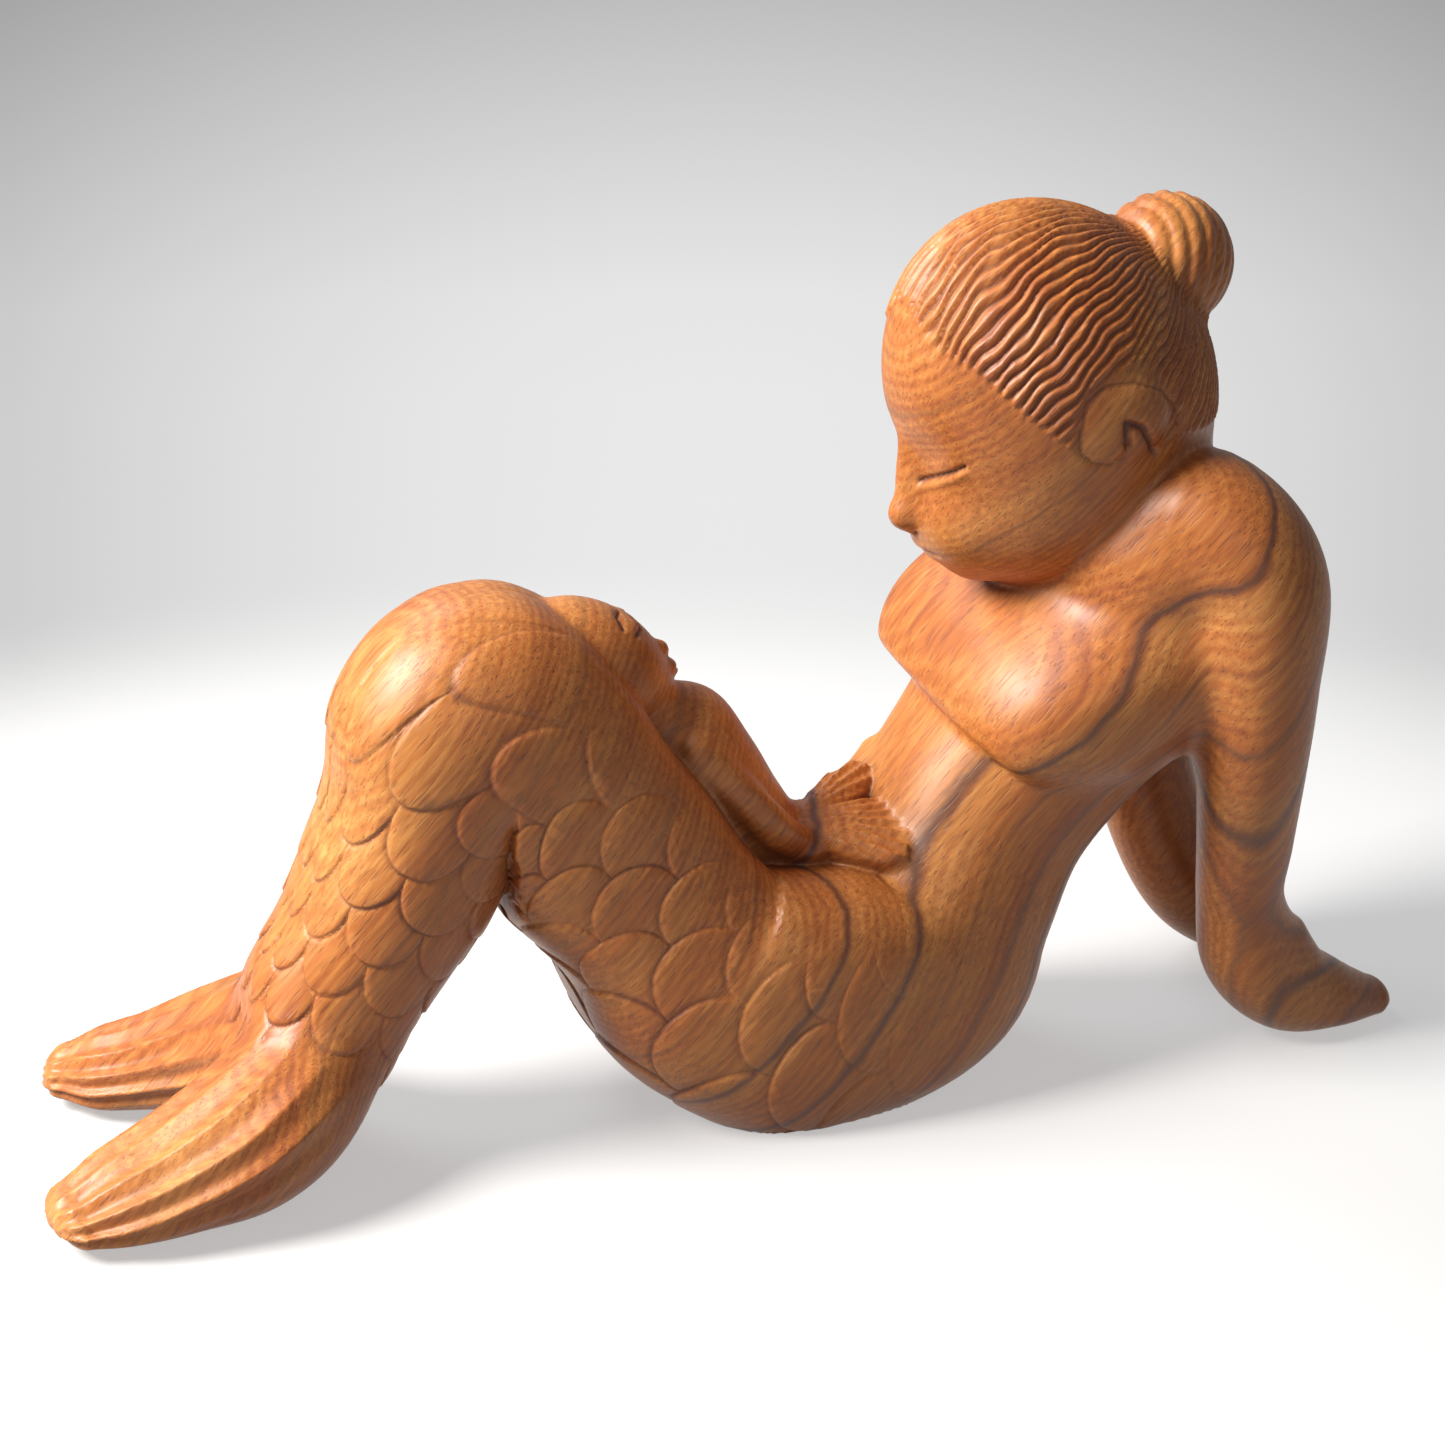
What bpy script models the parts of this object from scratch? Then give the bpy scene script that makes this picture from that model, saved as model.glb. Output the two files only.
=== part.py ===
# Carved wooden mermaid leaning back on her hands, with a baby mermaid lying on her lap.
# One solid: lofted forms are fused and softened, the carving is laid over them and fused again,
# and the whole is cut flat underneath. X runs from the tail fins (-X) to the hands (+X),
# her left side faces -Y and Z is up. Sizes in the tables are millimetres.
import bmesh
import bpy
import numpy as np
from math import pi

MM = 0.001
LENGTH = 398.2            # tail fins to fingertips
WIDTH = 127.4             # outer edge of one tail fin to that of the other
HEIGHT = 248.5            # ground to the top of the bun
FACES_KEPT = 11300        # triangles left after decimating
ROUGH_GRAIN = 2.2         # voxel size that fuses the large forms
FINE_GRAIN = 1.15         # voxel size that fuses the carving
SCALE_STEP = 1.5          # how far the free edge of a scale stands up
SCALE_ROW = 13.0          # distance from one row of scales to the next, along the tail
SCALE_COLUMNS = 10        # scales in one row, right round the tail
SCALE_DEPTH = 12.0        # length of the rounded end of a scale
HAIR_GROOVES = 40         # locks of hair round the bun
HAIR_CUT = 1.3            # depth between two locks

# Each row is one section on a path: x, y, z, half width, half height in front, half height behind.
# The tail and trunk add how square the section is and how deep the lap is hollowed.
TRUNK = [
    (-117, 0, 27, 21, 21, 10, 2.2, 0),
    (-110, 0, 43, 25, 25, 16, 2.2, 0),
    (-102, 0, 61, 28, 25, 22, 2.2, 0),
    (-94, 0, 79, 30, 26, 27, 2.2, 0),
    (-87, 0, 96, 31, 29, 29, 2.2, 0),
    (-79, 0, 109, 32, 37, 30, 2.2, 0),
    (-69, 0, 115, 33, 42, 31, 2.4, 0),
    (-59, 0, 109, 33, 39, 32, 2.7, 6),
    (-49, 0, 96, 33, 37, 32, 2.9, 9),
    (-38, 0, 80, 34, 37, 31, 3.0, 9),
    (-26, 0, 61, 37, 37, 28, 3.0, 9),
    (-11, 0, 44, 42, 38, 37, 3.0, 9),
    (10, 0, 38, 45, 37, 48, 3.2, 8),
    (34, 0, 36, 45, 37, 43, 3.2, 4),
    (54, 0, 43, 42, 34, 42, 2.9, 0),
    (67, 0, 57, 38, 33, 33, 2.5, 0),
    (79, 0, 76, 35, 33, 30, 2.3, 0),
    (94, 0, 98, 39, 32, 32, 2.3, 0),
    (110, 0, 118, 46, 32, 34, 2.3, 0),
    (122, 0, 136, 46, 30, 34, 2.3, 0),
]
NECK = [(132, 0, 144, 38, 26, 24), (120, 0, 164, 30, 24, 26), (104, 0, 190, 27, 26, 26)]
LEFT_ARM = [
    (117, -14, 160, 24, 22, 22), (130, -35, 163, 20, 20, 20), (140, -45, 147, 18, 20, 18),
    (142, -46, 118, 16, 16.5, 17), (143, -43, 94, 15, 15, 16), (145, -37, 68, 13, 14, 14),
    (147, -32, 48, 12.5, 13, 12.5), (152, -29, 28, 14, 15, 13), (165, -27, 14, 15, 13, 12),
    (181, -25, 8, 14, 9, 8), (196, -24, 5, 9, 5, 5),
]
RIGHT_ARM = [
    (117, 14, 160, 24, 22, 22), (130, 35, 163, 20, 20, 20), (140, 45, 147, 18, 20, 18),
    (145, 47, 116, 16, 17, 17), (148, 46, 90, 15, 16, 16), (151, 41, 62, 14, 15, 16),
    (156, 36, 40, 14, 15, 15), (164, 32, 23, 15, 15, 14), (174, 30, 12, 15, 12, 11),
    (184, 28, 7, 12, 8, 7), (191, 27, 5, 8, 5, 5),
]
LEFT_FIN = [
    (-114, -7, 33, 15, 18, 12), (-130, -16, 26, 23, 19, 20), (-147, -22, 19, 26, 17, 20),
    (-165, -25, 13, 24, 14, 14), (-181, -27, 9, 18, 11, 9), (-192, -28, 7, 11, 7, 6),
]
RIGHT_FIN = [
    (-114, 7, 35, 14, 17, 12), (-127, 18, 29, 21, 17, 19), (-141, 31, 22, 21, 14, 17),
    (-158, 43, 14, 18, 11, 12), (-170, 51, 10, 14, 9, 9), (-179, 56, 8, 8, 6, 6),
]
FIN_FLUTES = 5
FIN_CUT = 2.6
BABY_FIN_CUT = 1.4
FIN_STEP = 2.0            # spacing of the sections along a fluted fin
FIN_AROUND = 120          # points round each of those sections
BREAST = (36, 22, 21)     # radii of one breast: forward, sideways, up
BABY = [
    (-22, 0, 113, 12, 10, 12), (-14, 0, 106, 18, 14, 18), (-5, 0, 96, 18, 15, 18),
    (4, 0, 84, 16, 14, 16), (13, 0, 75, 14, 12, 14), (25, 0, 69, 12, 10, 12), (37, 0, 70, 13, 9, 10),
]
BABY_ARM = [(-11, -15, 108, 6, 6, 8), (1, -18, 96, 6, 5, 8), (12, -18, 82, 6, 5, 8), (26, -13, 71, 5, 4, 6)]
BABY_LEFT_FIN = [(32, -4, 73, 9, 6, 8), (42, -10, 72, 12, 6, 9), (52, -17, 72, 11, 5, 9), (59, -22, 73, 7, 4, 7)]
BABY_RIGHT_FIN = [(32, 4, 73, 9, 7, 8), (43, 9, 76, 11, 7, 9), (50, 14, 82, 10, 6, 9), (54, 17, 87, 7, 5, 7)]

# The head has its own directions: forward to the nose, to her left, and up to the crown.
HEAD_AT = np.array([96.0, 0.0, 198.0])
HEAD_NOD = 36 * pi / 180
HEAD_AXES = np.array([
    [-np.cos(HEAD_NOD), 0, -np.sin(HEAD_NOD)],
    [0, -1, 0],
    [-np.sin(HEAD_NOD), 0, np.cos(HEAD_NOD)],
])
SKULL = (44.8, 40, 52)
HAIRLINE = [(19, 0, 47), (24, 15, 40), (18, 31, 25), (13, 38, 8), (8, 40, -4), (-16, 36, -22), (-40, 0, -32)]
BABY_HEAD_AT = np.array([-38.0, 0.0, 132.5])
BABY_HEAD_AXES = np.array([[0.83, 0, -0.56], [0, -1, 0], [0.56, 0, 0.83]])


def clear_scene():
    for item in list(bpy.data.objects):
        bpy.data.objects.remove(item, do_unlink=True)


def smooth_path(rows, step):
    """Even steps along the curve that passes through every section."""
    rows = np.asarray(rows, float)
    ends = np.vstack([2 * rows[0] - rows[1], rows, 2 * rows[-1] - rows[-2]])
    t = np.linspace(0, 1, 24, endpoint=False)[:, None]
    parts = []
    for a, b, c, d in zip(ends[:-3], ends[1:-2], ends[2:-1], ends[3:]):
        parts.append(0.5 * (2 * b + (c - a) * t + (2 * a - 5 * b + 4 * c - d) * t**2
                            + (3 * b - a - 3 * c + d) * t**3))
    fine = np.vstack(parts + [rows[-1:]])
    run = np.concatenate([[0], np.cumsum(np.linalg.norm(np.diff(fine[:, :3], axis=0), axis=1))])
    at = np.linspace(0, run[-1], max(6, int(run[-1] / step) + 1))
    return at, np.stack([np.interp(at, run, column) for column in fine.T], 1)


def new_object(name, points, faces):
    mesh = bpy.data.meshes.new(name)
    mesh.from_pydata([tuple(p) for p in np.asarray(points) * MM], [], faces)
    mesh.update()
    thing = bpy.data.objects.new(name, mesh)
    bpy.context.scene.collection.objects.link(thing)
    return thing


def loft(name, rows, step=3.0, around=40, relief=None):
    """Sections carried along their path with rounded ends; relief lifts the skin, in millimetres."""
    at, rows = smooth_path(rows, step)
    along = np.gradient(rows[:, :3], axis=0)
    along /= np.linalg.norm(along, axis=1)[:, None]
    side = np.array([0, 1, 0]) - along * along[:, 1:2]
    side /= np.linalg.norm(side, axis=1)[:, None]
    front = np.cross(along, side)
    square = rows[:, 6] if rows.shape[1] > 6 else np.full(len(rows), 2.0)
    hollow = rows[:, 7] if rows.shape[1] > 7 else np.zeros(len(rows))
    turn = np.linspace(-pi, pi, around, endpoint=False)
    cap = np.array([80, 60, 40, 20]) * pi / 180
    rings = []
    for i, (push, shrink) in ([(0, (-np.sin(a), np.cos(a))) for a in cap]
                              + [(k, (0.0, 1.0)) for k in range(len(rows))]
                              + [(len(rows) - 1, (np.sin(a), np.cos(a))) for a in cap[::-1]]):
        power = 2 / square[i]
        across = rows[i, 3] * np.sign(np.sin(turn)) * np.abs(np.sin(turn))**power
        rise = np.sign(np.cos(turn)) * np.abs(np.cos(turn))**power
        deep = np.where(rise > 0, rows[i, 4] - hollow[i] * np.exp(-(across / 17)**2), rows[i, 5])
        up = rise * deep
        if relief is not None:
            reach = np.hypot(across, up) + 1e-6
            grow = 1 + relief(at[i] / at[-1], at[i], turn, across / rows[i, 3]) / reach
            across, up = across * grow, up * grow
        centre = rows[i, :3] + along[i] * push * min(rows[i, 3:6])
        rings.append(centre + shrink * (across[:, None] * side[i] + up[:, None] * front[i]))
    last = len(rings) - 1
    faces = []
    for r in range(last):
        for k in range(around):
            n = (k + 1) % around
            faces.append((r * around + k, r * around + n, (r + 1) * around + n, (r + 1) * around + k))
    faces.append(tuple(range(around - 1, -1, -1)))
    faces.append(tuple(last * around + k for k in range(around)))
    return close_outward(new_object(name, np.vstack(rings), faces))


def close_outward(thing):
    shape = bmesh.new()
    shape.from_mesh(thing.data)
    bmesh.ops.recalc_face_normals(shape, faces=shape.faces)
    shape.to_mesh(thing.data)
    shape.free()
    return thing


def ball(name, centre, radii, axes=np.eye(3), fine=4, relief=None):
    """A sphere stretched along its own three directions; relief lifts the skin, in millimetres."""
    shape = bmesh.new()
    bmesh.ops.create_icosphere(shape, subdivisions=fine, radius=1)
    unit = np.array([v.co[:] for v in shape.verts])
    local = unit * np.asarray(radii)
    if relief is not None:
        outward = unit / np.asarray(radii)
        outward /= np.linalg.norm(outward, axis=1)[:, None]
        local = local + outward * relief(local)[:, None]
    for vert, place in zip(shape.verts, (np.asarray(centre) + local @ np.asarray(axes)) * MM):
        vert.co = place
    mesh = bpy.data.meshes.new(name)
    shape.to_mesh(mesh)
    shape.free()
    thing = bpy.data.objects.new(name, mesh)
    bpy.context.scene.collection.objects.link(thing)
    return close_outward(thing)


def on_head(forward, left, up):
    return HEAD_AT + np.array([forward, left, up]) @ HEAD_AXES


def mirrored(rows):
    return [(row[0], -row[1]) + tuple(row[2:]) for row in rows]


def fused(name, things, grain, soften):
    """Overlapping closed forms become one skin, then their creases are softened."""
    bpy.ops.object.select_all(action='DESELECT')
    for thing in things:
        thing.select_set(True)
    bpy.context.view_layer.objects.active = things[0]
    bpy.ops.object.join()
    thing = bpy.context.view_layer.objects.active
    thing.name = name
    remesh = thing.modifiers.new('fuse', 'REMESH')
    remesh.mode = 'VOXEL'
    remesh.voxel_size = grain * MM
    if soften:
        smooth = thing.modifiers.new('soften', 'SMOOTH')
        smooth.factor = 0.5
        smooth.iterations = soften
    return with_modifiers_applied(thing)


def with_modifiers_applied(thing):
    bpy.context.view_layer.update()
    seen = thing.evaluated_get(bpy.context.evaluated_depsgraph_get())
    mesh = bpy.data.meshes.new_from_object(seen)
    thing.modifiers.clear()
    thing.data = mesh
    return thing


def trunk_and_limbs():
    return [
        loft('trunk', TRUNK), loft('neck', NECK),
        loft('left arm', LEFT_ARM), loft('right arm', RIGHT_ARM),
        loft('left fin core', LEFT_FIN, relief=fin_core), loft('right fin core', RIGHT_FIN, relief=fin_core),
    ]


def fin_core(part, along, turn, across):
    """The plain fin under the flutes stays inside them."""
    return np.full_like(turn, -4.0)


def bust():
    """Two breasts run up into one shelf under the chin, all sloping with the leaning trunk."""
    lean = np.array([[0.91, 0, 0.41], [0, 1, 0], [-0.41, 0, 0.91]])
    return [
        ball('left breast', (88, -23, 122), BREAST, lean),
        ball('right breast', (88, 23, 122), BREAST, lean),
        ball('breast shelf', (89, 0, 126), (36, 38, 20), lean),
    ]


def bare_head():
    return [
        ball('skull', on_head(0, 0, 0), SKULL, HEAD_AXES),
        ball('cheeks and jaw', on_head(18, 0, -20), (33, 32, 32), HEAD_AXES),
        ball('bun', (129, 0, 228), (18, 18, 19)),
    ]


def scale_relief(part, along, turn, across):
    """Height of the overlapping scales: each free end is a half round turned to the tail fins."""
    # columns are narrow down the front of the shin and wide on the flanks
    wide = np.radians(17 + 26 * np.clip(np.abs(np.linspace(0, pi, 361)) / np.radians(70), 0, 1))
    count = np.concatenate([[0], np.cumsum(np.diff(np.linspace(0, pi, 361)) / wide[1:])])
    column = SCALE_COLUMNS / 2 * np.interp(np.abs(turn), np.linspace(0, pi, 361), count / count[-1])
    column = column * np.sign(turn)
    lift = np.zeros_like(turn)
    free = np.ones(len(turn), bool)
    first = int(along / SCALE_ROW)
    for row in (first, first - 1, first - 2):
        off = column - 0.5 * (row % 2)
        x = off - np.round(off)
        edge = row * SCALE_ROW + SCALE_DEPTH * (1 - np.sqrt(np.clip(1 - (2 * x)**2, 0, 1)))
        here = free & (along >= edge)
        fall = np.clip(1 - (along - edge) / (1.7 * SCALE_ROW), 0, 1)
        lift = np.where(here, SCALE_STEP * fall, lift)
        free &= ~here
    fade = np.clip((part - 0.02) / 0.04, 0, 1) * np.clip((0.76 - part) / 0.10, 0, 1)
    return lift * np.sqrt(fade) + 0.4 * fade - 1.6 * (1 - fade)


def scaled_skin():
    return [loft('scales', TRUNK, step=1.2, around=150, relief=scale_relief)]


def fluted(cut):
    """Flutes along a fin: sharp ridges with hollows between them, deepest toward the tip."""
    def relief(part, along, turn, across):
        return -cut * np.abs(np.sin(pi * FIN_FLUTES * (across + 1) / 2)) * np.clip(part * 2.2 - 0.3, 0, 1) + 0.8
    return relief


def fins():
    return [
        loft('left fin flutes', LEFT_FIN, FIN_STEP, FIN_AROUND, fluted(FIN_CUT)),
        loft('right fin flutes', RIGHT_FIN, FIN_STEP, FIN_AROUND, fluted(FIN_CUT)),
    ]


def hair_relief(local):
    """Locks that fan out from the bun and wave a little; below the hairline the cap sinks away."""
    line = np.array(HAIRLINE, float)
    unit = local / np.linalg.norm(local, axis=1)[:, None]
    pole = np.array([-0.93, 0, 0.36])
    east = np.array([0, 1, 0])
    north = np.cross(pole, east)
    away = np.arccos(np.clip(unit @ pole, -1, 1))
    about = np.arctan2(unit @ east, unit @ north)
    rim_unit = line / np.linalg.norm(line, axis=1)[:, None]
    rim_away = np.arccos(rim_unit @ pole)
    rim_about = np.abs(np.arctan2(rim_unit @ east, rim_unit @ north))
    order = np.argsort(rim_about)
    edge = np.interp(np.abs(about), rim_about[order], rim_away[order])
    inside = np.clip((edge - away) / 0.05, 0, 1)
    wave = about * HAIR_GROOVES / 2 + 0.9 * np.sin(away * 9) + 0.5 * np.sin(away * 17 + about * 3)
    return inside * (1.0 - HAIR_CUT * (0.5 - 0.5 * np.cos(2 * wave))) - 2.0 * (1 - inside)


def face_and_hair():
    forms = [ball('hair', on_head(0, 0, 0), SKULL, HEAD_AXES, fine=6, relief=hair_relief)]
    forms.append(ball('nose', on_head(50, 0, -5.5), (6.5, 5, 5.5), HEAD_AXES))
    forms.append(ball('bridge of the nose', on_head(42.5, 0, 4), (5, 3.6, 11), HEAD_AXES))
    forms.append(ball('lips', on_head(47.5, 0, -15.5), (5, 7, 2.6), HEAD_AXES))
    forms.append(ball('chin', on_head(40, 0, -27), (10, 11, 8), HEAD_AXES))
    for side in (1, -1):
        forms.append(ball('eyelid', on_head(37, side * 14.5, 7), (5.2, 9.5, 4.2), HEAD_AXES))
        forms.append(ball('ear', on_head(-5, side * 38, -3), (12.5, 4.2, 10.5), HEAD_AXES))
    return forms


def bun_strands():
    def coil(local):
        spin = np.arctan2(local[:, 1], local[:, 2])
        return 0.7 - 1.0 * np.abs(np.sin(spin * 2 + local[:, 0] * 0.25))
    return [ball('bun strands', (129, 0, 228), (18, 18, 19), HEAD_AXES, fine=5, relief=coil)]


def baby():
    at, axes = BABY_HEAD_AT, BABY_HEAD_AXES
    forms = [
        loft('baby body', BABY), loft('baby left arm', BABY_ARM, around=20),
        loft('baby right arm', mirrored(BABY_ARM), around=20),
        loft('baby left fin', BABY_LEFT_FIN, FIN_STEP, FIN_AROUND, fluted(BABY_FIN_CUT)),
        loft('baby right fin', BABY_RIGHT_FIN, FIN_STEP, FIN_AROUND, fluted(BABY_FIN_CUT)),
        ball('baby head', at, (24, 17.5, 16.5), axes),
        ball('baby nose', at + np.array([9, 0, 16]) @ axes, (3.5, 2.5, 3), axes, 3),
        ball('baby lips', at + np.array([15, 0, 12.5]) @ axes, (2, 4.5, 2.5), axes, 3),
    ]
    for side in (1, -1):
        forms.append(ball('baby eyelid', at + np.array([3, side * 7.5, 14]) @ axes, (2.4, 4.6, 2.4), axes, 3))
    return forms


def underside_cut_flat(thing):
    """Everything below the ground plane is cut off, so the figurine stands on real flats."""
    shape = bmesh.new()
    shape.from_mesh(thing.data)
    everything = shape.verts[:] + shape.edges[:] + shape.faces[:]
    bmesh.ops.bisect_plane(shape, geom=everything, dist=1e-6, plane_co=(0, 0, 0), plane_no=(0, 0, 1),
                           clear_inner=True)
    rim = [edge for edge in shape.edges if edge.is_boundary]
    bmesh.ops.holes_fill(shape, edges=rim, sides=0)
    bmesh.ops.triangulate(shape, faces=shape.faces[:])
    drop_crumbs(shape)
    bmesh.ops.recalc_face_normals(shape, faces=shape.faces)
    shape.to_mesh(thing.data)
    shape.free()
    return thing


def drop_crumbs(shape):
    """Slivers that the cut left on their own are removed; the figurine is the one large piece."""
    left = set(shape.verts)
    while left:
        island = {left.pop()}
        edge_of_island = list(island)
        while edge_of_island:
            vert = edge_of_island.pop()
            for edge in vert.link_edges:
                other = edge.other_vert(vert)
                if other in left:
                    left.remove(other)
                    island.add(other)
                    edge_of_island.append(other)
        if len(island) < 100:
            bmesh.ops.delete(shape, geom=list(island), context='VERTS')
            left = {vert for vert in left if vert.is_valid}


def at_full_size(thing):
    """Centred over the origin and brought to its overall length, width and height."""
    mesh = thing.data
    place = np.array([v.co[:] for v in mesh.vertices])
    low, high = place.min(0), place.max(0)
    middle = (low + high) / 2 * np.array([1, 1, 0])
    grow = np.array([LENGTH, WIDTH, HEIGHT]) * MM / (high - low)
    for vert, there in zip(mesh.vertices, (place - middle) * grow):
        vert.co = there
    mesh.update()
    return thing


def thinned(thing):
    total = sum(len(face.vertices) - 2 for face in thing.data.polygons)
    thin = thing.modifiers.new('thin', 'DECIMATE')
    thin.ratio = FACES_KEPT / total
    return with_modifiers_applied(thing)


def carved_wood():
    wood = bpy.data.materials.new('wood')
    wood.use_nodes = True
    surface = wood.node_tree.nodes['Principled BSDF']
    surface.inputs['Base Color'].default_value = (0.52, 0.23, 0.07, 1)
    surface.inputs['Roughness'].default_value = 0.42
    return wood


def figurine():
    rough = fused('rough', trunk_and_limbs() + bust() + bare_head(), ROUGH_GRAIN, 9)
    carving = scaled_skin() + fins() + face_and_hair() + bun_strands() + baby()
    whole = fused('figurine', [rough] + carving, FINE_GRAIN, 2)
    whole = thinned(whole)
    whole = at_full_size(underside_cut_flat(whole))
    whole.data.materials.clear()
    whole.data.materials.append(carved_wood())
    for face in whole.data.polygons:
        face.use_smooth = False
    return whole


clear_scene()
figurine()
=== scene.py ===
import bpy
import numpy as np
from math import cos, pi, radians, sin
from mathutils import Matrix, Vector


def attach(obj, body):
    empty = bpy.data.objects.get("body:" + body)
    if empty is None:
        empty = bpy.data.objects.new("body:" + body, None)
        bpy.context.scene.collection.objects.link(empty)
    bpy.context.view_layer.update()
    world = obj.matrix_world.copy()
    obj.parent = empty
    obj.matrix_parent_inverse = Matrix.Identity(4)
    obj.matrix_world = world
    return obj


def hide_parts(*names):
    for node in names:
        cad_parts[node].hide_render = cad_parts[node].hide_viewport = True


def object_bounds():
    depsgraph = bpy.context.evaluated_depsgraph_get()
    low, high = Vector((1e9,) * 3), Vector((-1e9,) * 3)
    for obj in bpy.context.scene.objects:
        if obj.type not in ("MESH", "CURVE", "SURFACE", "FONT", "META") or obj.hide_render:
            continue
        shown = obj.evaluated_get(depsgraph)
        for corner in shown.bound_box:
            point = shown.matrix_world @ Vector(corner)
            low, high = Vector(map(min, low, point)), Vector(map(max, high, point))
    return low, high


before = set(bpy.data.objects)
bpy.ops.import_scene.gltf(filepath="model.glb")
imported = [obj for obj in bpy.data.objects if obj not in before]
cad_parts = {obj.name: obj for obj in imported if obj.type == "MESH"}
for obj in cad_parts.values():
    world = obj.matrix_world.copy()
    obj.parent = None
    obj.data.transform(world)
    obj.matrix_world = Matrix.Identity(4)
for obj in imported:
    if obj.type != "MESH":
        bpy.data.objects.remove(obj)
cad_low, cad_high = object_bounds()


# Tail and trunk: the main bough of the carving, from the ankles over the raised knee, down the lap
# and round the hips to the shoulders. It is one piece of wood with all the rest, so every form here
# is measured in the same way and one skin is drawn over them all at the end. Sizes are millimetres.
MM = 0.001
BLEND_REACH = 17.0        # a form further away than this doesn't pull on the skin
HOLLOW_WIDTH = 17.0       # half width of the hollow down the middle of the lap
CURVE_STEPS = 24          # steps of a curve between two sections
TRUNK = [                 # x, y, z, half width, half height in front, behind, squareness, lap hollow
    (-117, 0, 27, 21, 21, 10, 2.2, 0), (-110, 0, 43, 25, 28, 16, 2.2, 0),
    (-102, 0, 61, 28, 26, 22, 2.2, 0), (-94, 0, 79, 30, 26, 27, 2.2, 0),
    (-87, 0, 96, 31, 27, 29, 2.2, 0), (-79, 0, 109, 32, 37, 30, 2.2, 0),
    (-69, 0, 115, 33, 42, 31, 2.4, 0), (-59, 0, 109, 33, 39, 32, 2.7, 6),
    (-49, 0, 96, 33, 37, 32, 2.9, 9), (-38, 0, 80, 34, 37, 31, 3.0, 9),
    (-26, 0, 61, 37, 37, 28, 3.0, 9), (-11, 0, 44, 42, 38, 37, 3.0, 9),
    (10, 0, 38, 45, 37, 48, 3.2, 8), (34, 0, 36, 45, 37, 43, 3.2, 4),
    (54, 0, 43, 42, 34, 42, 2.9, 0), (67, 0, 57, 38, 33, 33, 2.5, 0),
    (79, 0, 76, 35, 33, 30, 2.3, 0), (94, 0, 98, 39, 32, 32, 2.3, 0),
    (110, 0, 118, 46, 32, 34, 2.3, 0), (122, 0, 136, 46, 30, 34, 2.3, 0),
]


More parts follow.
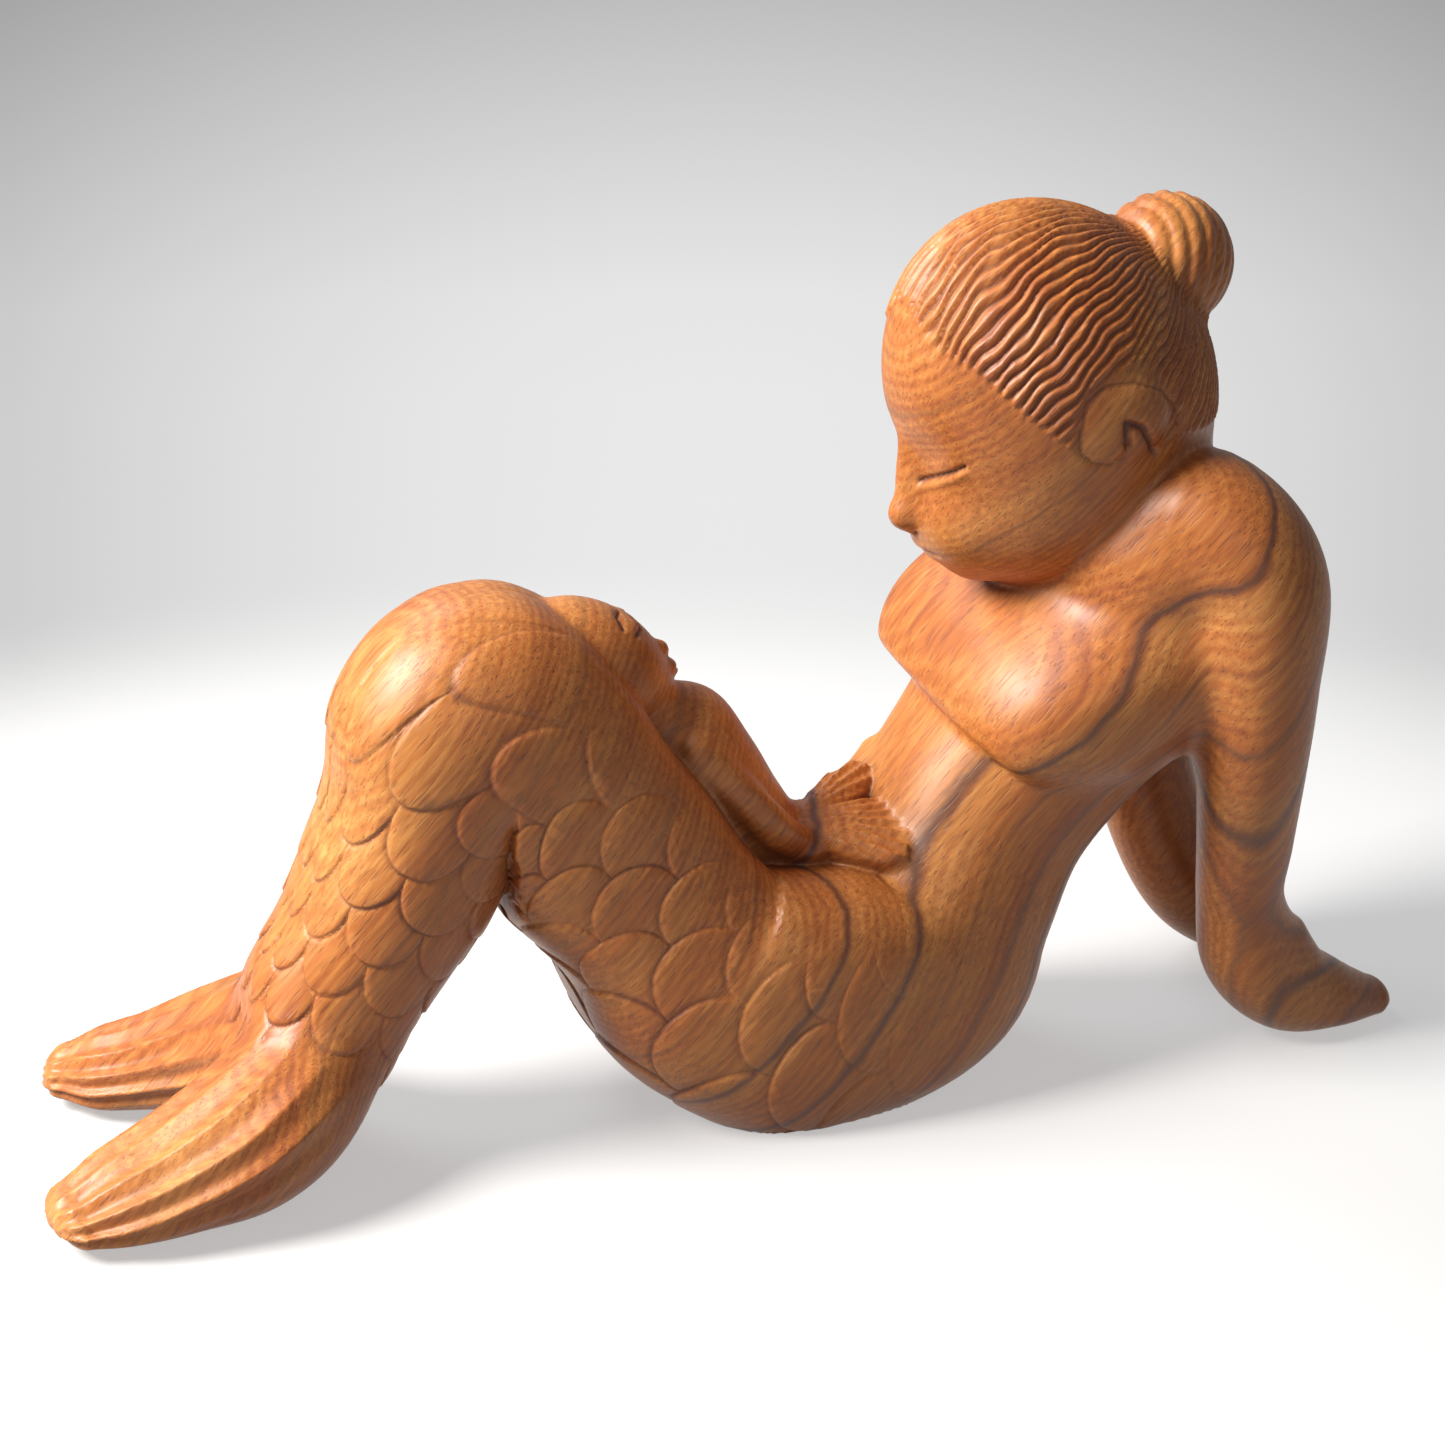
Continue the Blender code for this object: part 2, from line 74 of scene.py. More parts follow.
class Limb:
    """A form given by sections on a smooth curve, measured from outside as a distance.

    A point is first placed on the curve: how far along it, how far to the side and how far to the
    front. It is on the skin where (front / height)^m + (side / width)^m = 1, with m the squareness.
    """

    def __init__(self, rows, spacing=3.0, sideways=(0, 1, 0)):
        rows = np.asarray(rows, float)
        if rows.shape[1] == 6:
            rows = np.hstack([rows, np.full((len(rows), 1), 2.0), np.zeros((len(rows), 1))])
        ends = np.vstack([2 * rows[0] - rows[1], rows, 2 * rows[-1] - rows[-2]])
        t = np.linspace(0, 1, CURVE_STEPS, endpoint=False)[:, None]
        parts = [0.5 * (2 * b + (c - a) * t + (2 * a - 5 * b + 4 * c - d) * t**2
                        + (3 * b - a - 3 * c + d) * t**3)
                 for a, b, c, d in zip(ends[:-3], ends[1:-2], ends[2:-1], ends[3:])]
        fine = np.vstack(parts + [rows[-1:]])
        run = np.concatenate([[0], np.cumsum(np.linalg.norm(np.diff(fine[:, :3], axis=0), axis=1))])
        self.at = np.linspace(0, run[-1], max(8, int(run[-1] / spacing) + 1))
        self.rows = np.stack([np.interp(self.at, run, column) for column in fine.T], 1)
        self.centre = self.rows[:, :3]
        along = np.gradient(self.centre, axis=0)
        self.along = along / np.linalg.norm(along, axis=1)[:, None]
        side = np.array(sideways) - self.along * (self.along @ np.array(sideways))[:, None]
        self.side = side / np.linalg.norm(side, axis=1)[:, None]
        self.front = np.cross(self.along, self.side)
        reach = self.rows[:, 3:6].max() * 1.1
        self.low, self.high = self.centre.min(0) - reach, self.centre.max(0) + reach
        self.length = self.at[-1]

    def place(self, points):
        """Where each point is: distance along, overshoot past an end, to the front, side, section."""
        centre = self.centre.astype(np.float32)
        square = (centre * centre).sum(1)
        near = np.concatenate([np.argmin(square - 2 * part.astype(np.float32) @ centre.T, axis=1)
                               for part in np.array_split(points, len(points) // 200000 + 1)])
        last = len(self.at) - 1
        ahead = ((points - self.centre[near]) * self.along[near]).sum(1) >= 0
        low = np.where(ahead, near, near - 1)
        before, after = low < 0, low + 1 > last
        a, b = np.clip(low, 0, last), np.clip(low + 1, 0, last)
        back = ((points - self.centre[a]) * self.along[a]).sum(1)
        fore = ((points - self.centre[b]) * self.along[b]).sum(1)
        gap = back - fore
        share = np.clip(back / np.where(np.abs(gap) > 1e-9, gap, 1e-9), 0, 1)
        over = np.where(before, fore, np.where(after, back, 0.0))
        i = np.clip(low, 0, last - 1)
        share = np.where(before, 0.0, np.where(after, 1.0, share))
        run = (i + share) * (self.at[1] - self.at[0])
        share = share[:, None]
        centre, side, front, rows = (part[i] * (1 - share) + part[i + 1] * share
                                     for part in (self.centre, self.side, self.front, self.rows))
        arm = points - centre
        return run, over, (arm * front).sum(1), (arm * side).sum(1), rows

    def __call__(self, points):
        """Distance to the skin, below zero inside; far away it is only the distance to the box."""
        gap = np.linalg.norm(np.maximum(0, np.maximum(self.low - points, points - self.high)), axis=1)
        near = gap < BLEND_REACH
        depth = gap + BLEND_REACH
        if near.any():
            _, over, front, side, rows = self.place(points[near])
            lap = rows[:, 7] * np.exp(-(side / HOLLOW_WIDTH)**2)
            high = np.where(front > 0, rows[:, 4] - lap, rows[:, 5])
            wide, m = rows[:, 3], rows[:, 6]
            share = ((np.abs(front) / high)**m + (np.abs(side) / wide)**m)**(1 / m)
            share = np.sqrt(share**2 + (over / np.minimum(wide, high))**2)
            reach = np.sqrt(front**2 + side**2 + over**2)
            depth[near] = np.where(share > 1e-6, reach * (1 - 1 / np.maximum(share, 1e-6)), -wide)
        return depth


def ball(points, centre, radii, axes=np.eye(3)):
    """Distance to a sphere stretched along three directions: r (1 - 1 / k), with k = 1 on it."""
    arm = (points - np.asarray(centre, float)) @ np.asarray(axes).T
    share = np.sqrt(((arm / np.asarray(radii, float))**2).sum(1))
    return np.sqrt((arm**2).sum(1)) * (1 - 1 / np.maximum(share, 1e-3))


def join(a, b, soft):
    """Both forms together, with the crease filled where they are within soft of each other."""
    lap = np.maximum(soft - np.abs(a - b), 0) / soft
    return np.minimum(a, b) - lap**3 * soft / 6


def pared(a, b, soft):
    """The form a with everything outside b cut away, and the new edge rounded by soft."""
    return -join(-a, -b, soft)


trunk = Limb(TRUNK)


def eased(limb, spread):
    """A gentler copy of a curve for laying out a pattern: each place is the mean of those around it.

    The weights fall as e to the minus half square of the distance along, in spreads, so that the
    sharp bend of the knee becomes a wide one and the pattern doesn't fold on its inner side.
    """
    margin, every = 24, 5      # points added straight on past each end; one point in five is kept
    step = limb.at[1] - limb.at[0]
    more = np.arange(1, margin + 1)[:, None] * step
    line = np.vstack([limb.centre[0] - limb.along[0] * more[::-1], limb.centre,
                      limb.centre[-1] + limb.along[-1] * more])
    place = np.arange(len(line)) * step
    weight = np.exp(-0.5 * ((place[:, None] - place) / spread)**2)
    soft = (weight @ line / weight.sum(1)[:, None])[margin:-margin]
    return Limb(np.hstack([soft[::every], limb.rows[::every, 3:]]))


# Scales: half-round knife cuts that overlap like roof tiles, with their free ends turned to the
# tail fins. They are small down the front of the shin and wide on the flanks, and die out at the
# hips and on the lap. The same formula lifts the skin here and paints shade dark into their cut lines.
SCALE_ROW = 13.0          # from one row to the next along the tail
SCALE_END = 12.0          # length of the rounded end
SCALE_COLUMNS = 5         # scales from the middle of the front to the middle of the back
SCALE_STEP = 1.0          # how far a free end stands up
SCALE_EDGE = 10.0         # millimetres in one unit of the edge measure
SCALE_SINK = 0.35         # the whole pattern is pressed in by this much
GROOVE = 0.55             # depth of the knife line round a scale
ANKLE_LEAD, ANKLE_FADE = 12.0, 8.0  # how far before the ankle they begin, and over how far they grow
HIP_END, HIP_FADE = 236.0, 40.0    # where along the tail the last scales die out, and over how far
KNEE_FROM, KNEE_HALF = 80.0, radians(40)     # the worn cap of the knee: from here on, this far round
KNEE_WEAR = 0.75                   # how much of the scales is worn off there
LAP_FROM, LAP_WIDENS, LAP_WIDE = 90.0, 145.0, 30.0    # the plain lap, and where it grows wider
LAP_HALF, LAP_MORE = 62, 20        # degrees it reaches to each side, and how much more at the hips
PLAIN_FADE, TURN_FADE = 12.0, 0.3  # how softly both begin, along and round the tail


def scale_column(turn):
    """Scales counted from the front: each is 17 degrees wide there, growing to 43 on the flanks."""
    angle = np.linspace(0, pi, 361)
    wide = np.radians(17 + 26 * np.clip(angle / radians(70), 0, 1))
    count = np.concatenate([[0], np.cumsum(np.diff(angle) / wide[1:])])
    return SCALE_COLUMNS * np.interp(np.abs(turn), angle, count / count[-1])


def scale_edge(rows, column, row, maths):
    """How far a point is outside the scale of that row: the free end is half an ellipse, 0 on it."""
    shifted = column - 0.5 * maths.odd(row)
    across = shifted - maths.rounded(shifted)
    up = maths.least((rows - row) * (SCALE_ROW / SCALE_END) - 1.0, 0.0)
    return maths.root(across * across * 4.0 + up * up) - 1.0


class ArrayMaths:
    """The few functions that the scale formula needs, for numpy arrays."""
    odd = staticmethod(lambda v: np.mod(v, 2))
    rounded = staticmethod(np.round)
    least = staticmethod(np.minimum)
    root = staticmethod(np.sqrt)


guide = eased(trunk, 20)


def scales_on_trunk(points):
    """Height of the scales, and where they are: rows along the tail, column round it, strength."""
    run, over, front, side, rows = guide.place(points)
    turn = np.arctan2(side, front)
    far = np.abs(turn)
    along, column = (run + over) / SCALE_ROW, scale_column(turn)
    strength = (np.clip((run + over + ANKLE_LEAD) / ANKLE_FADE, 0, 1)
                * np.clip((HIP_END - run) / HIP_FADE, 0, 1))
    on_knee = (KNEE_WEAR * np.clip((run - KNEE_FROM) / PLAIN_FADE, 0, 1)
               * np.clip((KNEE_HALF - far) / TURN_FADE, 0, 1))
    lap_edge = np.radians(LAP_HALF + LAP_MORE * np.clip((run - LAP_WIDENS) / LAP_WIDE, 0, 1))
    on_lap = np.clip((run - LAP_FROM) / PLAIN_FADE, 0, 1) * np.clip((lap_edge - far) / TURN_FADE, 0, 1)
    on_skin = np.clip(2.4 - np.abs(trunk(points)) / 3, 0, 1)
    strength = strength * (1 - np.maximum(on_knee, on_lap)) * on_skin
    first = np.floor(along)
    height = np.zeros(len(points))
    for row in (first - 2, first - 1, first, first + 1):
        edge = scale_edge(along, column, row, ArrayMaths) * SCALE_EDGE
        cover = np.clip(0.5 - edge / 0.8, 0, 1)
        cover = cover * cover * (3 - 2 * cover)
        lift = SCALE_STEP * np.clip(1 - (along - row) / 2.0, 0, 1)
        groove = GROOVE * np.exp(-(edge / 0.7)**2)
        height = height * (1 - cover) + lift * cover - groove * (1 - cover)
    return (height - SCALE_SINK) * strength, np.stack([along, column, strength], 1)


# Neck, shoulders and arms: she leans back on two straight arms, with her hands flat behind her.
# Each hand is a plain paddle, as the carver left it. The shoulders are one broad swell.
ARM_BLEND, NECK_BLEND, SHOULDER_BLEND = 16, 10, 14    # how softly each runs into the rest
SHOULDERS = ((118, 0, 152), (28, 47, 22))             # centre, half sizes
neck = Limb([(132, 0, 144, 38, 26, 24), (120, 0, 164, 30, 24, 26), (104, 0, 190, 27, 26, 26)])
left_arm = Limb([
    (117, -14, 160, 24, 22, 22), (130, -35, 163, 20, 20, 20), (140, -45, 147, 18, 20, 18),
    (142, -46, 118, 16, 16.5, 17), (143, -43, 94, 15, 15, 16), (145, -37, 68, 13, 14, 14),
    (147, -32, 48, 12.5, 13, 12.5), (152, -29, 28, 14, 19, 13), (165, -27, 14, 15, 17, 12),
    (181, -25, 8, 14, 12, 8), (196, -24, 5, 9, 6, 5)])
right_arm = Limb([
    (117, 14, 160, 24, 22, 22), (130, 35, 163, 20, 20, 20), (140, 45, 147, 18, 20, 18),
    (145, 47, 116, 16, 17, 17), (148, 46, 90, 15, 16, 16), (151, 41, 62, 14, 15, 16),
    (156, 36, 40, 14, 15, 15), (164, 32, 23, 15, 15, 14), (174, 30, 12, 15, 12, 11),
    (184, 28, 7, 12, 8, 7), (191, 27, 5, 8, 5, 5)])


# Bust: one broad swell across the chest that follows the leaning back. It is cut under along a
# straight line, which leaves a sharp front edge, and it sits a little higher on her right, which is
# the far side in the photograph. The chest above it is filled smoothly up to the shoulders.
BUST_TILT = radians(9)
BUST_AXES = np.array([[0.91, 0, 0.41],            # back along the chest, to her right, out of it
                      [-0.41 * sin(BUST_TILT), cos(BUST_TILT), 0.91 * sin(BUST_TILT)],
                      [-0.41 * cos(BUST_TILT), -sin(BUST_TILT), 0.91 * cos(BUST_TILT)]])
CHEST = ((113, 0, 119.5), (50, 46, 20))          # centre, half sizes
CHEST_AXES = np.array([[0.815, 0, 0.58], [0, 1, 0], [-0.58, 0, 0.815]])
CHEST_BLEND = 12
BUST_CREASE, BUST_RISE, RISE_OVER = 4, 18, 20    # blend at the undercut, added above it, over how far
BUST_AT = np.array([96.0, 3.0, 119.5])
BUST_SIZE = (39.0, 51.0, 23.0)
BUST_EDGE = np.array([68.0, 0.0, 105.0])
UNDERCUT = BUST_AXES.T @ np.array([-0.893, 0, -0.452])    # the way the cut faces
EDGE_ROUND = 3


def bust(points):
    """A stretched ball with boxy sides, (round^3 + side^3)^(1/3) = 1, cut off flat below."""
    arm = (points - BUST_AT) @ BUST_AXES.T
    part = np.abs(arm) / BUST_SIZE
    share = ((part[:, 0]**2 + part[:, 2]**2)**1.5 + part[:, 1]**3)**(1 / 3)
    form = np.sqrt((arm**2).sum(1)) * (1 - 1 / np.maximum(share, 1e-3))
    return pared(form, (points - BUST_EDGE) @ UNDERCUT, EDGE_ROUND)


# Tail fins: two chunky lobes that spread at the ankles, with sharp ridges and broad flutes.
FIN_FLUTES = 13           # hollows in a full turn
FLUTE_DEPTH, FLUTE_SHARE = 2.4, 0.15      # deepest cut, and the most it takes of the half width
FLUTES_TO, TIP_FADE = radians(125), 9.0   # how far round they go, and how they run out at the tip
FIN_BLEND, FIN_CLEFT = 18, 3              # how softly the fins meet the ankle, and one another
left_fin = Limb([
    (-114, -7, 33, 15, 18, 12), (-130, -16, 26, 23, 19, 20), (-147, -22, 19, 26, 17, 20),
    (-165, -25, 13, 24, 14, 14), (-180, -27, 9, 21, 12, 9), (-191, -28, 7, 16, 8, 6)],
    sideways=(0, -1, 0))
right_fin = Limb([
    (-114, 7, 35, 14, 17, 12), (-127, 18, 29, 21, 17, 19), (-141, 31, 22, 21, 14, 17),
    (-158, 43, 14, 18, 11, 12), (-169, 50, 10, 17, 10, 9), (-178, 55, 8, 12, 7, 6)],
    sideways=(0, -1, 0))


def flutes(limb, points):
    """Hollows side by side round the top of a fin, each a rounded half sine, with ridges between.

    They start behind the root, run out round the tip, and are shallower where the fin is narrow.
    """
    run, over, front, side, rows = limb.place(points)
    turn = np.arctan2(side / rows[:, 3], front / rows[:, 4])
    deep = np.minimum(FLUTE_DEPTH, rows[:, 3] * FLUTE_SHARE)
    wave = np.sqrt(np.sin(turn * FIN_FLUTES / 2)**2 + 0.012) - 0.11
    on_it = (np.clip(1.5 - np.abs(limb(points)) / 3, 0, 1)
             * np.clip((FLUTES_TO - np.abs(turn)) / 0.5, 0, 1))
    grown = np.clip(1 - over / TIP_FADE, 0, 1) * np.clip((run + over) / limb.length * 2.4 - 0.25, 0, 1)
    return -deep * wave * grown * on_it


# Head: a smooth egg with a full jaw, nodding down over the lap. It has its own directions, forward
# to the nose, to her left and up to the crown. The face is a carver's plain one, with closed eyes.
HEAD_AT = np.array([96.0, 0.0, 198.0])
NOD = radians(36)
HEAD_AXES = np.array([[-cos(NOD), 0, -sin(NOD)], [0, -1, 0], [-sin(NOD), 0, cos(NOD)]])
SKULL = (44.8, 40, 52)
NOSE_LINE = np.array([[0.614, 0, -0.789], [0, 1, 0], [0.789, 0, 0.614]])
FACE_FORMS = [            # centre, half sizes, how softly it is joined on, its own directions if it has any
    ((18, 0, -18.5), (32.5, 32, 30.5), 16),       # jaw and cheeks
    ((40, 0, -13), (16, 21, 17), 9),              # muzzle
    ((45.5, 0, 5.5), (15, 4.6, 5), 7, NOSE_LINE),          # bridge of the nose
    ((53.5, 0, -2.2), (5.2, 4.8, 4.8), 5),        # tip of the nose
    ((53.4, 0, -12.2), (3.2, 6.2, 2.0), 3),       # upper lip
    ((52.0, 0, -16.6), (3.4, 5.6, 2.3), 3),       # lower lip
    ((45.0, 0, -25.0), (7, 9, 7), 8),             # chin
]
EAR = ((-3, 37, -4), (13.5, 4.0, 12.5), 2)
HEAD_BLEND = 4            # a tight crease where the chin rests on the chest


def head(points):
    """The skull as a stretched ball, with the forms of the face and both ears joined on in turn."""
    local = (points - HEAD_AT) @ HEAD_AXES.T
    form = ball(local, (0, 0, 0), SKULL)
    for centre, half_sizes, soft, *directions in FACE_FORMS:
        form = join(form, ball(local, centre, half_sizes, *directions), soft)
    both_sides = np.stack([local[:, 0], np.abs(local[:, 1]), local[:, 2]], 1)
    return join(form, ball(both_sides, EAR[0], EAR[1]), EAR[2])


def near_line(flat, corners):
    """Distance in a plane from each point to the line through the corners."""
    best = np.full(len(flat), 1e3)
    for a, b in zip(np.asarray(corners[:-1], float), np.asarray(corners[1:], float)):
        share = np.clip((flat - a) @ (b - a) / ((b - a) @ (b - a)), 0, 1)
        best = np.minimum(best, np.linalg.norm(flat - a - share[:, None] * (b - a), axis=1))
    return best


def dent(distance, width):
    """A soft cut across a line: e to the minus square of the distance in widths."""
    return np.exp(-(distance / width)**2)


FAR_OFF = 50.0            # added to a distance where its cut doesn't reach
EYE_SLIT = [(6.5, 5.8), (12.3, 6.6), (18.8, 7.6), (22.3, 8.5)]          # to the side, up
MOUTH = [(0, -14.2), (4, -14.4), (7.0, -15.1)]
TEMPLE_LINE = [(35.9, 7.9), (28.5, 5.0), (20.8, 2.1), (12.1, -0.9)]     # forward, up
EAR_NOTCH = [(0.4, -9.0), (-2.6, -3.5), (-5.6, -8.0), (-5.0, -17.5)]
EAR_RIM = [(9.5, 2), (3, 8.5), (-4, 8.6), (-11.2, 3.4), (-16.2, -4), (-17, -11), (-14.9, -16.5)]
EAR_LOBE = [(9.5, 2), (12, -2.5), (10.5, -7.5), (7, -11), (3, -11.6), (0.4, -9)]
LID_DROP = 1.9            # the rim of the lower lid is this far below the slit
NOSTRIL = (3.4, -7.4)


def face_cuts(points):
    """Soft sockets and lids, the two eye slits, the nostrils, the mouth and the ears, as heights.

    Each cut is a bell across the distance to its line. The other results are the distances in
    millimetres to the nearest deep cut and to the nearest fine line, where shade is painted dark.
    """
    local = (points - HEAD_AT) @ HEAD_AXES.T
    fore, side, up = local[:, 0], np.abs(local[:, 1]), local[:, 2]
    in_front = np.clip((fore - 20) / 8, 0, 1) * (np.linalg.norm(local, axis=1) < 75)
    seen = np.stack([side, up], 1)
    slit, lid = near_line(seen, EYE_SLIT), near_line(seen - (0, -LID_DROP), EYE_SLIT)
    mouth, nostril = near_line(seen, MOUTH), np.hypot(side - NOSTRIL[0], up - NOSTRIL[1])
    socket = np.exp(-((side - 11) / 8)**2 - ((up - 13) / 6)**2)
    height = in_front * (-1.2 * socket + 0.5 * dent(lid, 1.0) - 1.1 * dent(slit, 0.7)
                         - 1.0 * dent(mouth, 0.9) - 0.8 * dent(nostril, 1.1))
    beside = np.clip((side - 26) / 4, 0, 1) * (np.linalg.norm(local, axis=1) < 60)
    flat = np.stack([fore, up], 1)
    notch = near_line(flat, EAR_NOTCH)
    rim = np.minimum(near_line(flat, EAR_RIM), near_line(flat, EAR_LOBE))
    height -= beside * (2.0 * dent(notch, 1.1) + 0.6 * dent(rim, 0.8))
    temple = near_line(flat, TEMPLE_LINE) + 0.6
    off = FAR_OFF * (in_front < 0.5)
    to_side = FAR_OFF * (beside < 0.5)
    off_temple = FAR_OFF * ((side < 20) | (fore < 8) | (np.linalg.norm(local, axis=1) > 60))
    deep = np.minimum(slit + off, notch * 0.75 + to_side)
    fine = np.minimum(np.minimum(mouth, nostril * 0.8) + off,
                      np.minimum(rim + to_side, temple + off_temple))
    return height, deep, fine


# Hair and bun: thin wavy locks combed back from the hairline to a bun on the crown, each with a
# rounded top and a knife line beside it. They end at the hairline in rounded tips.
HAIR_LOCKS = 84           # radians of the wave in one radian about the pole
HAIR_CUT, HAIR_RISE = 1.35, 0.8      # depth of a furrow, and how far a lock stands above the brow
HAIR_REACH = 45           # from the middle of the head to the hair
BUN_AT, BUN_SIZE, BUN_BLEND = np.array([130.0, 0.0, 228.5]), (18.5, 18.5, 18.8), 5
HAIRLINE = np.array([      # from the parting over the temple and the ear to the nape
    (19.9, 0, 46.6), (23.1, 7.6, 43.4), (24.3, 16.7, 37.9), (20.4, 27.6, 29.2), (18, 34.8, 14.8),
    (14.8, 37.7, 3.8), (12.9, 38.4, -3.2), (-16, 36, -22), (-40, 0, -32)])
HAIR_POLE = np.array([-0.99, 0, 0.141])    # where the locks meet, behind the bun


def hair_on_head(points):
    """Height of the locks, and where they are: the wave, how far from the bun, and inside the line.

    A lock runs along a great circle from behind the bun; its number is the angle about that pole
    plus a small sideways wave, and the furrows between locks are where the cosine of it is one.
    """
    local = (points - HEAD_AT) @ HEAD_AXES.T
    unit = local / np.maximum(np.linalg.norm(local, axis=1), 1e-6)[:, None]
    east = np.array([0, 1, 0])
    north = np.cross(HAIR_POLE, east)
    away = np.arccos(np.clip(unit @ HAIR_POLE, -1, 1))
    about = np.abs(np.arctan2(unit @ east, unit @ north))
    rim = HAIRLINE / np.linalg.norm(HAIRLINE, axis=1)[:, None]
    rim_about = np.abs(np.arctan2(rim @ east, rim @ north))
    order = np.argsort(rim_about)
    edge = np.interp(about, rim_about[order], np.arccos(rim @ HAIR_POLE)[order])
    wave = (about * HAIR_LOCKS + 1.5 * np.sin(away * 10 + about * 5 + 1.5 * np.sin(about * 7))
            + 0.6 * np.sin(away * 23 + about * 17 + 2.0 * np.sin(about * 11)))
    lock = 0.5 + 0.5 * np.cos(wave)
    on_skull = np.clip(1.6 - np.abs(ball(local, (0, 0, 0), SKULL)) / 2.0, 0, 1)
    inside = np.clip((edge - away - 0.035 * lock) / 0.022, 0, 1) * on_skull
    by_ear = np.clip(np.hypot((local[:, 0] + 3) / 14.5, (local[:, 2] + 4) / 13.5) * 4 - 3.8, 0, 1)
    inside = inside * np.where(np.abs(local[:, 1]) > 25, by_ear, 1)
    pitch = np.sin(away) * HAIR_REACH * 2 * pi / HAIR_LOCKS
    height = inside * (HAIR_RISE - np.minimum(HAIR_CUT, 0.42 * pitch) * lock**1.5)
    return height, np.stack([wave, away, inside], 1)


def bun(points):
    return ball(points, BUN_AT, BUN_SIZE)


def bun_strands(points):
    """Height of the strands: furrows where the cosine across slanting, slightly bent bands is one."""
    local = (points - BUN_AT) @ HEAD_AXES.T
    on_it = np.clip(1.5 - np.abs(bun(points)) / 2, 0, 1) * (np.linalg.norm(local, axis=1) < 26)
    wave = (local[:, 0] * 0.75 + local[:, 2] * 1.1 + np.abs(local[:, 1]) * 0.5
            + 0.9 * np.sin(local[:, 0] * 0.25))
    return (0.3 - 0.7 * (0.5 + 0.5 * np.cos(wave))**2) * on_it


# Baby: a small mermaid carved in one with the lap, on her back in its hollow, head at the knee and
# tail against the mother's belly. Her arms lie along her sides and her closed face looks up.
baby_body = Limb([
    (-22, 0, 113, 12, 14, 12), (-14, 0, 106, 18, 18, 18), (-5, 0, 96, 18, 16, 18),
    (4, 0, 84, 16, 14, 16), (13, 0, 75, 14, 12, 14), (25, 0, 69, 12, 10, 12), (37, 0, 70, 13, 9, 10)], 2.0)
BABY_ARM = [(-12, -14, 109, 5, 5, 7), (0, -16, 97, 5, 4, 7), (12, -15, 83, 5, 4, 7), (26, -10, 72, 4, 3, 6)]
baby_arms = [Limb([(x, side * y, *rest) for x, y, *rest in BABY_ARM], 2.0) for side in (1, -1)]
baby_left_fin = Limb([
    (32, -4, 73, 9, 6, 8), (42, -10, 72, 12, 6, 9), (52, -17, 72, 11, 5, 9), (59, -22, 73, 7, 4, 7)], 1.5)
baby_right_fin = Limb([
    (32, 4, 73, 9, 7, 8), (43, 9, 76, 11, 7, 9), (50, 14, 82, 10, 6, 9), (54, 17, 87, 7, 5, 7)], 1.5)
BABY_BLEND = 2.5          # tight creases round her
BABY_FACE = [             # centre, half sizes, how softly it is joined on
    ((16, 0, 2.5), (8.5, 10, 8), 4),                    # chin and cheeks
    ((15.5, 0, 12), (3.0, 2.6, 2.8), 2.5),              # nose
    ((20.5, 0, 9.2), (3.0, 4.2, 2.4), 2),               # lips
]
BABY_SKULL = (24, 17.5, 16.5)
BABY_EYE = [(2.6, 2.6), (5.5, 4.8), (9.4, 3.0)]         # to the side, ahead
BABY_BROW = [(2.4, -1.8), (6.2, -3.4), (9.8, -1.4)]
BABY_HEAD_AT = np.array([-38.0, 0.0, 132.5])
BABY_AXES = np.array([[0.83, 0, -0.56], [0, -1, 0], [0.56, 0, 0.83]])    # ahead to the chin, side, up


def baby(points):
    """Body, arms, forked tail and head, each joined to the next with a tight crease."""
    form = join(baby_body(points), join(baby_arms[0](points), baby_arms[1](points), 2), BABY_BLEND)
    form = join(form, join(baby_left_fin(points), baby_right_fin(points), 1.5), 3)
    near = np.linalg.norm(points - FAN_AT - FAN_NEAR[0], axis=1) < FAN_NEAR[1]
    if near.any():
        form[near] = join(form[near], baby_fan(points[near]), 1.5)
    local = (points - BABY_HEAD_AT) @ BABY_AXES.T
    face = ball(local, (0, 0, 0), BABY_SKULL)
    for centre, half_sizes, soft in BABY_FACE:
        face = join(face, ball(local, centre, half_sizes), soft)
    return join(form, face, BABY_BLEND)


def baby_cuts(points):
    """Heights of the closed eyes, the brows and the mouth, and the distances to them for the painted shade.
    """
    local = (points - BABY_HEAD_AT) @ BABY_AXES.T
    ahead, side, up = local[:, 0], np.abs(local[:, 1]), local[:, 2]
    on_face = np.clip((up - 6) / 3, 0, 1) * (np.linalg.norm(local, axis=1) < 28)
    seen = np.stack([side, ahead], 1)
    eye = np.minimum(near_line(seen, BABY_EYE), near_line(seen, BABY_BROW) + 0.15)
    mouth = np.hypot((ahead - 20.4) * 0.5 - (up - 9.4) * 0.9, np.maximum(side - 3.4, 0))
    lid = np.exp(-(((side - 5.6) / 4.0)**2 + ((ahead - 2.6) / 2.6)**2))
    height = (on_face * (0.7 * lid - 1.1 * dent(eye, 0.6))
              - 0.7 * (ahead > 14) * dent(mouth, 0.5) * on_face)
    off = FAR_OFF * (on_face < 0.5)
    return height, eye + off, mouth + off + FAR_OFF * (ahead < 15)


